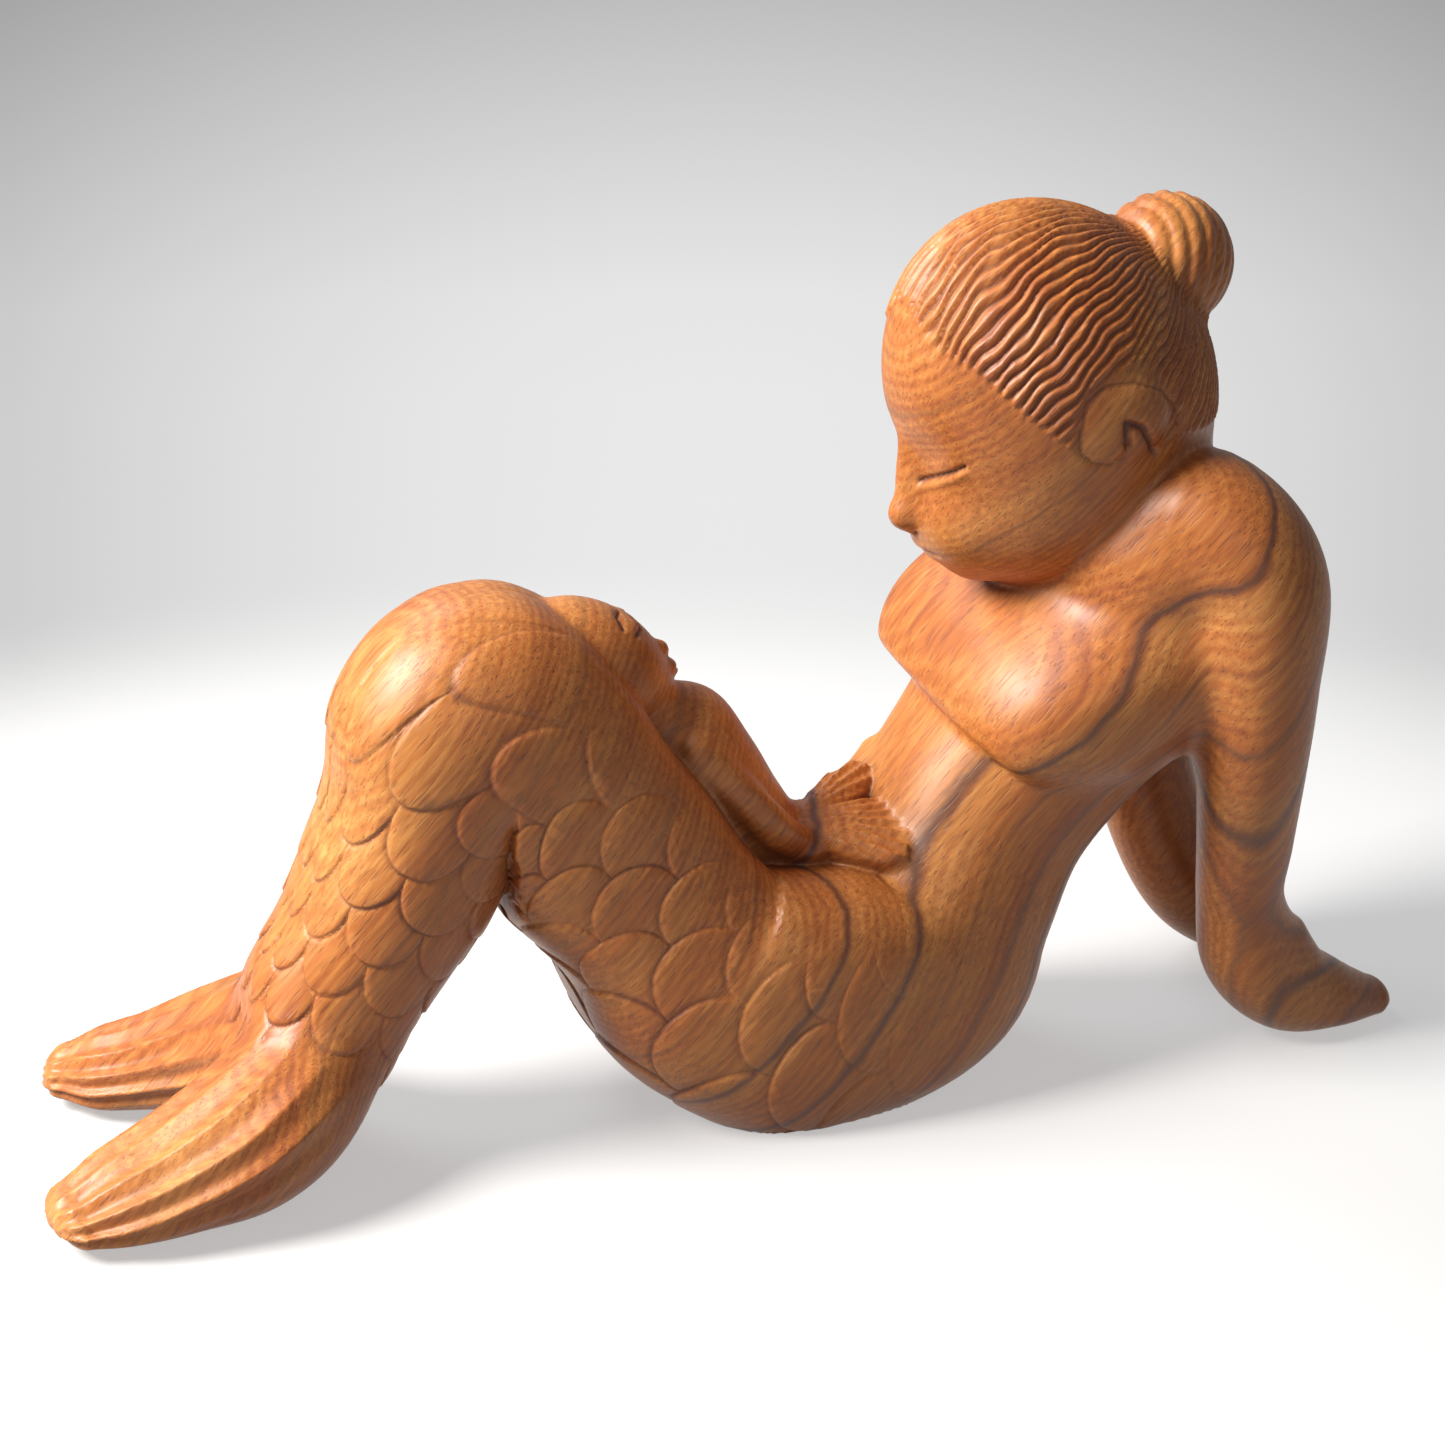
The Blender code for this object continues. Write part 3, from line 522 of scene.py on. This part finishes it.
FAN_AT = np.array([19.0, -8.0, 79.5])    # the root of the baby's tail fin
FAN_AXES = np.array([[0.981, -0.095, 0.172], [0.01, 0.938, 0.345], [-0.194, -0.336, 0.922]])
FAN_RIM = [               # angle in degrees from its middle, reach; the notch is at 14 degrees
    (-180, 8), (-60, 12), (-46, 27), (-38, 33), (-25, 32), (-11, 30.5), (0, 28), (8, 25.5), (14, 19),
    (20, 26), (30, 31.5), (38, 33), (46, 27), (60, 12), (180, 8)]
FAN_RIBS = 11
FAN_TOP, FAN_BOTTOM = 2.6, -14.0         # the plate reaches from here to here
RIB_DEPTH, RIM_DROP = 1.9, 3.6           # the hollows between the ribs, and the fall toward the rim
FAN_NEAR = (16, 0, 0), 48                # the middle of the fan from its root, and all of its reach


def baby_fan(points):
    """Distance to the baby's forked fin, a thick plate on the belly with ribs fanning from its root.

    A point is inside where its radius is below that of the rim at its angle and its height is within
    the plate. A half sine between ribs and the cube of the radius share lower the top.
    """
    along, across, above = ((points - FAN_AT) @ FAN_AXES.T).T
    far, angle = np.hypot(along, across), np.degrees(np.arctan2(across, along))
    rim = np.interp(angle, *np.array(FAN_RIM, float).T)
    rib = np.sqrt(np.sin(np.radians(angle) * FAN_RIBS * 2)**2 + 0.01)
    top = (above - FAN_TOP + RIB_DEPTH * rib * np.clip(far / 18 - 0.3, 0, 1)
           + RIM_DROP * np.clip(far / rim, 0, 1.2)**3)
    return pared(pared(0.7 * (far - rim), top, 1.2), -above + FAN_BOTTOM, 1)


# Figurine: the one solid block. All forms above are joined into one distance, a closed skin is
# drawn where it is zero, the knife work is pressed into that skin, and it is sawn flat below.
LOW, HIGH = np.array([-214.0, -82.0, -4.0]), np.array([214.0, 90.0, 264.0])    # all of her is inside
GRID = 0.8    # cell of the lattice
FOOT_EDGE = 0.8           # rounding of the sawn edge
SAWN, LEVEL = 0.6, 0.35   # the skin this low has no knife work, and this low is set level
LOOK = 5                  # how far off the skin it is tested for a hollow
FLUTE_SHADE = 0.62          # how hollow the bottom of a flute counts, for the painted shade
KEPT_QUADS = 96000        # twice as many triangles are kept


def figure(points):
    """Distance to the whole figurine before the knife work."""
    form = join(join(trunk(points), left_arm(points), ARM_BLEND), right_arm(points), ARM_BLEND)
    form = join(form, join(left_fin(points), right_fin(points), FIN_CLEFT), FIN_BLEND)
    form = join(form, ball(points, *SHOULDERS), SHOULDER_BLEND)
    form = join(form, ball(points, *CHEST, CHEST_AXES), CHEST_BLEND)
    above = np.clip((points - BUST_EDGE) @ -UNDERCUT / RISE_OVER, 0, 1)
    form = join(form, bust(points), BUST_CREASE + BUST_RISE * above)
    nodding = join(join(neck(points), head(points), NECK_BLEND), bun(points), BUN_BLEND)
    form = join(join(form, nodding, HEAD_BLEND), baby(points), BABY_BLEND)
    return pared(form, -points[:, 2], FOOT_EDGE)


def skin(form, low, high, step, block=6):
    """Closed quads where form is zero, on a lattice that is only filled in near the skin.

    Each lattice cell that the skin passes through gets one vertex, at the mean of the places where
    its edges are crossed, and each crossed lattice edge gets the quad of its four cells.
    """
    size = np.ceil((high - low) / step / block).astype(int) * block + 1
    coarse = (size - 1) // block
    axes = [low[k] + step * block * (np.arange(coarse[k]) + 0.5) for k in range(3)]
    middle = form(np.stack(np.meshgrid(*axes, indexing="ij"), -1).reshape(-1, 3))
    value = np.full(size, 1e3, np.float32)
    sign = np.where(middle < 0, -1e3, 1e3).reshape(coarse)
    value[:-1, :-1, :-1] = np.kron(sign, np.ones((block,) * 3))
    near = np.abs(middle) < step * block * 1.17 + 1.0
    cells = np.stack(np.unravel_index(np.nonzero(near)[0], coarse), 1) * block
    wanted = np.zeros(size, bool)
    for shift in np.ndindex(block + 1, block + 1, block + 1):
        wanted[tuple((cells + shift).T)] = True
    places = np.stack(np.nonzero(wanted), 1)
    parts = np.array_split(places, len(places) // 300000 + 1)
    value[tuple(places.T)] = np.concatenate([form(low + step * part) for part in parts])
    solid = value < 0
    count = np.zeros(size - 1, np.int8)
    for shift in np.ndindex(2, 2, 2):
        count += solid[tuple(slice(s, n - 1 + s) for s, n in zip(shift, size))]
    cells = np.stack(np.nonzero((count > 0) & (count < 8)), 1)
    number = np.full(size - 1, -1, np.int32)
    number[tuple(cells.T)] = np.arange(len(cells))
    total, crossings = np.zeros((len(cells), 3)), np.zeros(len(cells))
    corner = {shift: value[tuple((cells + shift).T)] for shift in np.ndindex(2, 2, 2)}
    for start in corner:
        for axis in range(3):
            if start[axis]:
                continue
            end = tuple(1 if k == axis else start[k] for k in range(3))
            a, b = corner[start], corner[end]
            crossed = (a < 0) != (b < 0)
            share = np.where(crossed, a / np.where(crossed, a - b, 1), 0)
            for k in range(3):
                total[:, k] += np.where(crossed, start[k] + (share if k == axis else 0), 0)
            crossings += crossed
    points = low + step * (cells + total / crossings[:, None])
    quads = []
    for axis in range(3):
        a, b = (axis + 1) % 3, (axis + 2) % 3
        first = [slice(1, n - 1) for n in size]
        first[axis] = slice(0, size[axis] - 1)
        second = list(first)
        second[axis] = slice(1, size[axis])
        start = solid[tuple(first)]
        edges = np.stack(np.nonzero(start != solid[tuple(second)]), 1)
        flip = start[tuple(edges.T)]
        edges[:, [a, b]] += 1

        def cell(da, db):
            there = edges.copy()
            there[:, a] -= da
            there[:, b] -= db
            return number[tuple(there.T)]
        loop = np.stack([cell(0, 0), cell(1, 0), cell(1, 1), cell(0, 1)], 1)
        quads.append(np.where(flip[:, None], loop, loop[:, ::-1]))
    return points, np.vstack(quads)


def outward(points, quads):
    """Unit directions out of the skin: the crossed diagonals of the quads at each vertex, added up."""
    corners = [points[quads[:, k]] for k in range(4)]
    across = np.cross(corners[2] - corners[0], corners[3] - corners[1])
    total = np.stack([np.bincount(quads.ravel(), np.repeat(across[:, k], 4), len(points))
                      for k in range(3)], 1)
    return total / np.maximum(np.linalg.norm(total, axis=1), 1e-9)[:, None]


def knife_work(points):
    """The height of all the carving, and the places of its cuts and hollows that the painted shade needs.
    """
    scale_height, tail = scales_on_trunk(points)
    hair_height, hair = hair_on_head(points)
    face_height, face_deep, face_fine = face_cuts(points)
    baby_height, baby_deep, baby_fine = baby_cuts(points)
    off_trunk = np.clip(np.minimum(bust(points), baby(points)) / 2.5, 0, 1)
    tail[:, 2] *= off_trunk
    height = scale_height * off_trunk + hair_height + face_height + baby_height + bun_strands(points)
    left, right = flutes(left_fin, points), flutes(right_fin, points)
    marks = np.stack([np.minimum(face_deep, baby_deep), np.minimum(face_fine, baby_fine)], 1)
    return height + left + right, tail, hair, marks, np.clip(-(left + right) / FLUTE_DEPTH, 0, 1)


points, quads = skin(figure, LOW, HIGH, GRID)
away = outward(points, quads)
height, tail, hair, marks, in_flute = knife_work(points)
carved = points + away * np.where(points[:, 2] < SAWN, 0, height)[:, None]
carved[:, 2] = np.where(carved[:, 2] < LEVEL, 0, carved[:, 2])
# painted shade: the nearer the form comes back to a point LOOK millimetres off the skin, the deeper the
# crease or hollow, and the darker it is painted there, as if shaded
hollow = np.clip(1 - figure(points + away * LOOK) / LOOK, 0, 1)
hollow = np.maximum(hollow, FLUTE_SHADE * in_flute)

# the sizes above come close to the CAD box, and she is fitted to it exactly
low, high = carved.min(0), carved.max(0)
fit = (np.array(cad_high) - np.array(cad_low)) / MM / (high - low)
placed = (carved - (low + high) / 2 * np.array([1, 1, 0])) * fit * MM

mesh = bpy.data.meshes.new("carved_figurine")
mesh.vertices.add(len(placed))
mesh.vertices.foreach_set("co", placed.astype(np.float32).ravel())
mesh.loops.add(quads.size)
mesh.loops.foreach_set("vertex_index", quads.astype(np.int32).ravel())
mesh.polygons.add(len(quads))
mesh.polygons.foreach_set("loop_start", np.arange(0, quads.size, 4, dtype=np.int32))
mesh.update(calc_edges=True)
for name, values in (("tail", tail), ("hair", hair), ("marks", np.column_stack([marks, hollow]))):
    layer = mesh.attributes.new(name, "FLOAT_VECTOR", "POINT")
    layer.data.foreach_set("vector", values.astype(np.float32).ravel())
figurine = bpy.data.objects.new("carved_figurine", mesh)
bpy.context.scene.collection.objects.link(figurine)
thin = figurine.modifiers.new("thin", "DECIMATE")
thin.ratio = KEPT_QUADS / len(quads)
seen = figurine.evaluated_get(bpy.context.evaluated_depsgraph_get())
slim = bpy.data.meshes.new_from_object(seen)
figurine.modifiers.clear()
figurine.data = slim
figurine.data.shade_smooth()
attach(figurine, "root")
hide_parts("figurine")


# Wood: one block of warm brown hardwood under a satin waxed coat. Growth rings are shells round a pith
# line that runs up through the leaning back, long fibres follow that line, and shade is painted dark into
# the cuts and hollows.
class Reading:
    """A number, colour or shader of a node tree: a socket that takes part in sums like a number."""

    def __init__(self, maker, socket):
        self.maker, self.socket = maker, socket

    def other(self, output):
        """Another output of the node that this one comes from."""
        return Reading(self.maker, self.socket.node.outputs[output])

    def maths(self, operation, *others, clamp=False):
        settings = {"operation": operation, "use_clamp": clamp}
        return self.maker.node("ShaderNodeMath", settings, enumerate((self,) + others))

    def __add__(self, other): return self.maths("ADD", other)
    def __radd__(self, other): return self.maths("ADD", other)
    def __sub__(self, other): return self.maths("SUBTRACT", other)
    def __rsub__(self, other): return (self * -1.0) + other
    def __mul__(self, other): return self.maths("MULTIPLY", other)
    def __rmul__(self, other): return self.maths("MULTIPLY", other)
    def __pow__(self, other): return self.maths("POWER", other)
    def clipped(self): return self.maths("ADD", 0.0, clamp=True)
    def at_least(self, other): return self.maths("MAXIMUM", other)


class ShaderMaths:
    """The few functions that the scale formula needs, for shader sockets."""
    odd = staticmethod(lambda v: v.maths("FLOORED_MODULO", 2.0))
    rounded = staticmethod(lambda v: v.maths("ROUND"))
    least = staticmethod(lambda v, other: v.maths("MINIMUM", other))
    root = staticmethod(lambda v: v.maths("SQRT"))


class Nodes:
    """Makes the nodes of one material, or of the world."""

    def __init__(self, owner):
        owner.use_nodes = True
        self.tree = owner.node_tree
        self.tree.nodes.clear()

    def node(self, kind, settings=(), sockets=(), out=0):
        """Any node: its type, its settings set first, then the values or links of its sockets."""
        made = self.tree.nodes.new(kind)
        for name, value in dict(settings).items():
            if name == "stops":
                ramp = made.color_ramp
                while len(ramp.elements) < len(value):
                    ramp.elements.new(0.5)
                for element, (at, colour) in zip(ramp.elements, value):
                    element.position, element.color = at, (*colour, 1)
            else:
                setattr(made, name, value)
        for name, value in dict(sockets).items():
            if isinstance(value, Reading):
                self.tree.links.new(value.socket, made.inputs[name])
            else:
                made.inputs[name].default_value = value
        return Reading(self, made.outputs[out]) if len(made.outputs) else None

    def dot(self, a, b):
        return self.node("ShaderNodeVectorMath", {"operation": "DOT_PRODUCT"}, {0: a, 1: b}, "Value")

    def point(self, x, y, z):
        return self.node("ShaderNodeCombineXYZ", {}, {0: x, 1: y, 2: z})

    def split(self, vector):
        """The three numbers of a vector."""
        first = self.node("ShaderNodeSeparateXYZ", {}, {0: vector})
        return [first.other(k) for k in range(3)]

    def stored(self, name):
        """The three numbers of a vertex attribute."""
        return self.split(self.node("ShaderNodeAttribute", {"attribute_name": name}, {}, "Vector"))

    def noise(self, where, scale, detail=2.0, rough=0.5):
        return self.node("ShaderNodeTexNoise", {"noise_dimensions": "3D"},
                         {"Vector": where, "Scale": scale, "Detail": detail, "Roughness": rough})

    def mixed(self, share, a, b, blend="MIX"):
        return self.node("ShaderNodeMix", {"data_type": "RGBA", "blend_type": blend},
                         {0: share, 6: a, 7: b}, 2)

    def either(self, share, first, second):
        """One shader going over into another."""
        return self.node("ShaderNodeMixShader", {}, {0: share, 1: first, 2: second})

    def in_sight(self):
        """1 for the rays whose end is seen: from the camera, from a mirror or let through."""
        straight = self.node("ShaderNodeLightPath", out="Is Camera Ray")
        through = straight.other("Is Transmission Ray")
        return straight.at_least(straight.other("Is Glossy Ray")).at_least(through)


FIBRE = (0.647, -0.120, 0.753)     # the way the trunk of the tree ran
SIDEWAYS = (0.759, 0.0, -0.651)    # the two directions across it
UPWARDS = (0.078, 0.993, 0.092)
PITH = (103.0, 9.2, 5.1)           # a point on the pith line, in front of the hands
RING_GAP = 2.3                     # from one fine ring to the next
DARK_RINGS = (                     # radius, half width, strength, how far up the trunk it shows
    (46.5, 0.9, 0.6, 200), (56.0, 1.3, 0.95, 200), (69.5, 0.9, 0.7, 200), (82.0, 0.6, 0.35, 200),
    (94.6, 1.1, 1.0, 200), (112.2, 1.1, 0.95, 36), (131.0, 0.8, 0.35, 200), (166.0, 0.8, 0.4, 200),
    (205.0, 0.9, 0.4, 200))
DEEP_WOOD, MID_WOOD, LIGHT_WOOD = (0.36, 0.088, 0.031), (0.61, 0.195, 0.042), (0.80, 0.350, 0.095)
# dark wood for the pores and growth lines, also drawn into the knife lines as painted shade; the second
# colour is painted shade in the creases and hollows
DARK_WOOD, HOLLOW_SHADE_WOOD = (0.070, 0.020, 0.018, 1), (0.14, 0.045, 0.022, 1)
FIBRE_DARK, FIBRE_LIGHT = (0.60, 0.50, 0.48, 1), (1.18, 1.22, 1.25, 1)    # the tone is multiplied by it


def bell(reading, centre, width):
    """A soft hump: 1 at the centre, falling as e to the minus square of the distance in widths."""
    off = (reading - centre) * (1.0 / width)
    return (off * off * -1.0).maths("EXPONENT")


def carved_wood():
    """The material: tone by the distance from the pith, fibres along it, painted shade in the cuts and
    hollows.
    """
    material = bpy.data.materials.new("satin_wood")
    wood = Nodes(material)
    here = wood.node("ShaderNodeTexCoord", {}, {}, "Object")
    mm = wood.node("ShaderNodeVectorMath", {"operation": "SCALE"}, {0: here, "Scale": 1 / MM})
    from_pith = wood.node("ShaderNodeVectorMath", {"operation": "SUBTRACT"}, {0: mm, 1: PITH})
    along, across, beside = (wood.dot(from_pith, way) for way in (FIBRE, SIDEWAYS, UPWARDS))

    def drawn_out(lengthwise, crosswise, detail=1.0, rough=0.5):
        """Noise by how often it changes in a millimetre along the fibres and across them."""
        where = wood.point(along * lengthwise, across * crosswise, beside * crosswise)
        return wood.noise(where, 1.0, detail, rough)

    sway, quiver = drawn_out(0.010, 0.016) - 0.5, drawn_out(0.05, 0.10, 3.0, 0.6) - 0.5
    radius = (across * across + beside * beside).maths("SQRT") + sway * 6.0 + quiver * 3.2

    # broad bands of tone, then the fine rings, then the few strong dark growth lines
    band = wood.noise(wood.point(radius * 0.09, along * 0.004, beside * 0.002), 1.0, 3.0, 0.6)
    patch = drawn_out(0.012, 0.03, 2.0)
    ring = (radius * (2 * pi / RING_GAP)).maths("SINE") * 0.5 + 0.5
    ring_mask = wood.noise(wood.point(radius * 0.06 + 7.0, along * 0.015, beside * 0.01), 1.0, 1.0)
    tone = wood.node("ShaderNodeValToRGB",
                     {"stops": ((0.24, DEEP_WOOD), (0.45, MID_WOOD), (0.70, LIGHT_WOOD))},
                     {"Fac": band * 0.7 + patch * 0.3 + (ring - 0.5) * ring_mask * 0.20})
    line = 0.0
    for at, width, strength, up_to in DARK_RINGS:
        line = bell(radius, at, width) * strength * ((up_to - along) * 0.06).clipped() + line

    # fibres and pores: noise drawn out along the grain
    streak = drawn_out(0.045, 0.65, 4.0, 0.65)
    pores = ((drawn_out(0.10, 1.7) - 0.585) * 8.0).clipped()
    colour = wood.mixed(((streak - 0.5) * 2.0 + 0.5).clipped(), FIBRE_DARK, FIBRE_LIGHT)
    colour = wood.mixed(1.0, tone, colour, "MULTIPLY")
    colour = wood.mixed(pores * 0.4, colour, DARK_WOOD)
    colour = wood.mixed(line.clipped() * 0.82, colour, DARK_WOOD)

    # painted shade along the edges of the scales: each row covers those under it, so only the uppermost
    # edge is darkened
    rows, column, strength = wood.stored("tail")
    first = rows.maths("FLOOR")
    cut = covered = 0.0
    for step in (1.0, 0.0, -1.0, -2.0):
        edge = scale_edge(rows, column, first + step, ShaderMaths) * SCALE_EDGE
        cut = (bell(edge, 0.12, 0.42) * (1.0 - covered)).at_least(cut)
        covered = (edge * -4.0).clipped().at_least(covered)
    uneven = ((wood.noise(mm, 0.045, 1.0) - 0.28) * 2.6).clipped()
    cut = cut * strength * uneven

    # painted shade: all knife lines and furrows are drawn dark as if shaded, and the hollows and creases
    # are darkened as if in shade
    wave, _, inside = wood.stored("hair")
    furrow = ((wave.maths("COSINE") * 0.5 + 0.5) ** 5.0) * inside
    deep, fine, hollow = wood.stored("marks")
    lines = (bell(deep, 0.0, 0.62) * 0.95).at_least(bell(fine, 0.0, 0.42) * 0.6)
    painted_cut_shade = (cut * 0.75).at_least(furrow * 0.6).at_least(lines)
    # painted shade in the creases and hollows, mixed toward a dark brown
    painted_hollow_shade = ((hollow - 0.25) * 1.1).clipped()
    colour = wood.mixed(painted_cut_shade, colour, DARK_WOOD)
    colour = wood.mixed(painted_hollow_shade * 0.6, colour, HOLLOW_SHADE_WOOD)
    roughness = 0.43 + (streak - 0.5) * 0.2 + painted_cut_shade * 0.25 + painted_hollow_shade * 0.15
    relief = streak * 0.35 + pores * -0.25 + ring * 0.10 + cut * -1.2 + furrow * -0.5
    bump = wood.node("ShaderNodeBump", {}, {"Strength": 0.35, "Distance": 0.0006, "Height": relief})
    surface = wood.node("ShaderNodeBsdfPrincipled", {}, {
        "Base Color": colour, "Roughness": roughness, "Normal": bump, "Coat Weight": 0.22,
        "Coat Roughness": 0.36, "Specular IOR Level": 0.45})
    wood.node("ShaderNodeOutputMaterial", {}, {"Surface": surface})
    return material


figurine.data.materials.clear()
figurine.data.materials.append(carved_wood())


# Floor: a plain white sheet that takes a soft shadow and fades out into the backdrop further off. It
# is partly lit by itself, so that the shadow stays light, and grey for the light it throws back.
FLOOR_RADIUS = 3.0
SHEET_AT = (-0.05, -0.14, 0.0)     # the middle of the white sheet, in front of the figurine
FADE_FROM, FADE_OVER = 0.36, 0.24  # how far from there it begins to fade, and over how far
SELF_LIT = 0.45
WHITE_SHEET, GREY_SHEET = (0.94, 0.94, 0.94, 1), (0.17, 0.15, 0.15, 1)


def floor_disc(radius):
    """A round flat grid: rings of points at growing distances from the middle, joined by quads."""
    rings, spokes = 24, 96
    far = radius * np.linspace(0.02, 1, rings)
    turn = np.linspace(0, 2 * pi, spokes, endpoint=False)
    places = np.stack([np.outer(far, np.cos(turn)), np.outer(far, np.sin(turn)),
                       np.zeros((rings, spokes))], -1)
    at = np.arange(rings * spokes).reshape(rings, spokes)
    right = np.roll(at, -1, 1)
    faces = np.stack([at[:-1], right[:-1], right[1:], at[1:]], -1).reshape(-1, 4)[:, ::-1]
    sheet = bpy.data.meshes.new("floor")
    sheet.from_pydata(places.reshape(-1, 3).tolist(), [], faces.tolist() + [at[0].tolist()])
    sheet.update()
    return sheet


floor = bpy.data.objects.new("floor", floor_disc(FLOOR_RADIUS))
bpy.context.scene.collection.objects.link(floor)
floor_paint = bpy.data.materials.new("floor_paint")
paint = Nodes(floor_paint)
spot = paint.node("ShaderNodeTexCoord", {}, {}, "Object")
distance = paint.node("ShaderNodeVectorMath", {"operation": "DISTANCE"}, {0: spot, 1: SHEET_AT}, "Value")
fade = ((distance - FADE_FROM) * (1 / FADE_OVER)).clipped()
fade = fade * fade * (3.0 - 2.0 * fade)
grey_sheet = paint.node("ShaderNodeBsdfDiffuse", {}, {"Color": GREY_SHEET})
white_sheet = paint.node("ShaderNodeBsdfDiffuse", {}, {"Color": WHITE_SHEET})
glow = paint.node("ShaderNodeEmission", {}, {"Color": (1.0, 1.0, 1.0, 1)})
sheet = paint.either(paint.in_sight(), grey_sheet, paint.either(SELF_LIT, white_sheet, glow))
faded = paint.either(fade, sheet, paint.node("ShaderNodeBsdfTransparent"))
paint.node("ShaderNodeOutputMaterial", {}, {"Surface": faded})
floor.data.materials.append(floor_paint)


# Studio: a pale backdrop, greyer higher up, that lights her only weakly. A broad lamp stands high
# beyond her tail fins, with a weak cool one behind her and a weak one in front, by the camera.
WALL_FROM, WALL_TO = -0.40, -0.18  # rise of the view at both ends of the wall tones
WALL_TONES = (
    (0.0, 1.0), (0.10, 0.95), (0.22, 0.82), (0.50, 0.815), (0.62, 0.79), (0.75, 0.70), (0.86, 0.61),
    (1.0, 0.49))
PICTURE_RIGHT = (0.94, -0.342, 0.0)
CORNER_AT, CORNER_TONE = 0.036, 0.76     # square of the distance to the side, and the tone there
AMBIENT, AMBIENT_STRENGTH = (0.95, 0.94, 1.0, 1), 0.09

world = bpy.data.worlds.new("studio")
bpy.context.scene.world = world
sky = Nodes(world)
direction = sky.node("ShaderNodeTexCoord", {}, {}, "Generated")
rise = sky.node("ShaderNodeMapRange", {}, {
    "Value": sky.split(direction)[2], "From Min": WALL_FROM, "From Max": WALL_TO})
grey = sky.node("ShaderNodeValToRGB", {"stops": [(at, (tone,) * 3) for at, tone in WALL_TONES]},
                {"Fac": rise})
off_centre = sky.dot(direction, PICTURE_RIGHT)
dim = sky.node("ShaderNodeMapRange", {"clamp": True}, {
    "Value": off_centre * off_centre, "From Min": 0.0, "From Max": CORNER_AT, "To Min": 1.0,
    "To Max": CORNER_TONE})
ambient = sky.node("ShaderNodeBackground", {}, {"Color": AMBIENT, "Strength": AMBIENT_STRENGTH})
wall = sky.node("ShaderNodeBackground", {}, {"Color": grey, "Strength": dim})
sky.node("ShaderNodeOutputWorld", {}, {"Surface": sky.either(sky.in_sight(), ambient, wall)})


def lamp(name, place, aim, size, power, colour):
    """A round lamp, this size across in metres, turned from its place to the aim."""
    light = bpy.data.lights.new(name, "AREA")
    light.shape, light.size, light.energy, light.color = "DISK", size, power, colour
    holder = bpy.data.objects.new(name, light)
    bpy.context.scene.collection.objects.link(holder)
    holder.location = place
    holder.rotation_mode = "QUATERNION"
    holder.rotation_quaternion = (Vector(aim) - Vector(place)).to_track_quat("-Z", "Y")


lamp("key", (-1.12, 0.06, 1.05), (0.0, 0.0, 0.10), 0.70, 41.0, (1.0, 0.97, 0.92))
lamp("sheen", (-0.25, 0.75, 0.95), (0.0, 0.0, 0.12), 0.6, 3.5, (0.90, 0.95, 1.0))
lamp("fill", (-0.2, -1.3, 0.55), (0.0, 0.0, 0.10), 0.8, 1.2, (0.97, 0.93, 1.0))

TARGET = Vector((-0.00109, -0.00054, 0.1097))
AZIMUTH, ELEVATION, AWAY = radians(20), radians(22), 1.0
FOCAL_PIXELS, FRAME_PIXELS, SENSOR = 3640, 1445, 36.0
forward = Vector((sin(AZIMUTH) * cos(ELEVATION), cos(AZIMUTH) * cos(ELEVATION), -sin(ELEVATION)))
camera_data = bpy.data.cameras.new("camera")
camera_data.sensor_width, camera_data.lens = SENSOR, SENSOR * FOCAL_PIXELS / FRAME_PIXELS
camera = bpy.data.objects.new("camera", camera_data)
bpy.context.scene.collection.objects.link(camera)
camera.location = TARGET - forward * AWAY
camera.rotation_mode = "QUATERNION"
camera.rotation_quaternion = forward.to_track_quat("-Z", "Y")
bpy.context.scene.camera = camera
bpy.context.scene.view_settings.view_transform = "Standard"
